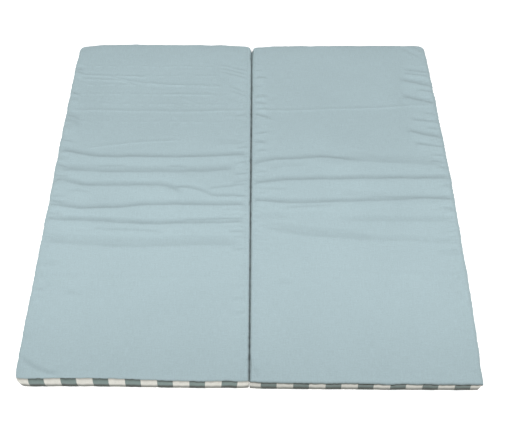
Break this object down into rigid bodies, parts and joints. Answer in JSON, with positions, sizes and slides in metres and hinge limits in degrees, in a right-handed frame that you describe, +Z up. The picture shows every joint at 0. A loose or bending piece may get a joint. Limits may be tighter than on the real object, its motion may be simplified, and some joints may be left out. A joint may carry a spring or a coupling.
{
  "type": "changing pad",
  "caption": "Thin folding changing pad: square padded mat of two foam panels in plain blue-grey cotton with striped sides, folding in half along a centre seam.",
  "frame": {"origin": "middle of the open pad, on the floor", "axes": "+X across both panels, to the right; +Y from the front edge to the back edge; +Z up, out of the plain top"},
  "size_m": [0.71, 0.71, 0.036],
  "materials": {
    "plain_cotton": "matte",
    "striped_cotton": "matte",
    "foam": "matte",
    "zip_tape": "matte",
    "zip_coil": "satin",
    "zip_metal": "satin"
  },
  "bodies": {
    "left_panel": {"left_foam_core": "foam", "left_top_cover": "plain_cotton", "left_base_cover": "striped_cotton", "left_front_boxing": "striped_cotton", "left_outer_boxing": "striped_cotton", "left_inner_boxing": "striped_cotton", "left_back_boxing_upper": "striped_cotton", "left_back_boxing_lower": "striped_cotton", "left_zip_end_tabs": "striped_cotton", "left_zip_tape_upper": "zip_tape", "left_zip_tape_lower": "zip_tape", "left_zip_coil_upper": "zip_coil", "left_zip_coil_lower": "zip_coil", "left_zip_top_stops": "zip_metal", "left_zip_bottom_stop": "zip_metal", "hinge_strip": "plain_cotton"},
    "left_slider": {"left_zip_slider": "zip_metal"},
    "left_pull": {"left_zip_pull": "zip_metal"},
    "right_panel": {"right_foam_core": "foam", "right_top_cover": "plain_cotton", "right_base_cover": "striped_cotton", "right_front_boxing": "striped_cotton", "right_outer_boxing": "striped_cotton", "right_inner_boxing": "striped_cotton", "right_back_boxing_upper": "striped_cotton", "right_back_boxing_lower": "striped_cotton", "right_zip_end_tabs": "striped_cotton", "right_zip_tape_upper": "zip_tape", "right_zip_tape_lower": "zip_tape", "right_zip_coil_upper": "zip_coil", "right_zip_coil_lower": "zip_coil", "right_zip_top_stops": "zip_metal", "right_zip_bottom_stop": "zip_metal"},
    "right_slider": {"right_zip_slider": "zip_metal"},
    "right_pull": {"right_zip_pull": "zip_metal"}
  },
  "joints": [
    {"name": "fold", "type": "hinge", "parent": "left_panel", "child": "right_panel", "pos_m": [0, 0, 0.0362], "axis": [0, -1, 0], "range_deg": [0, 180], "deforming": ["hinge_strip"]},
    {"name": "left_zip", "type": "slide", "parent": "left_panel", "child": "left_slider", "axis": [1, 0, 0], "range_m": [0, 0.279]},
    {"name": "left_pull_turn", "type": "hinge", "parent": "left_slider", "child": "left_pull", "pos_m": [-0.3245, 0.3525, 0.018], "axis": [0, 0, 1], "range_deg": [0, 150]},
    {"name": "right_zip", "type": "slide", "parent": "right_panel", "child": "right_slider", "axis": [-1, 0, 0], "range_m": [0, 0.279]},
    {"name": "right_pull_turn", "type": "hinge", "parent": "right_slider", "child": "right_pull", "pos_m": [0.3245, 0.3525, 0.018], "axis": [0, 0, -1], "range_deg": [0, 150]}
  ]
}
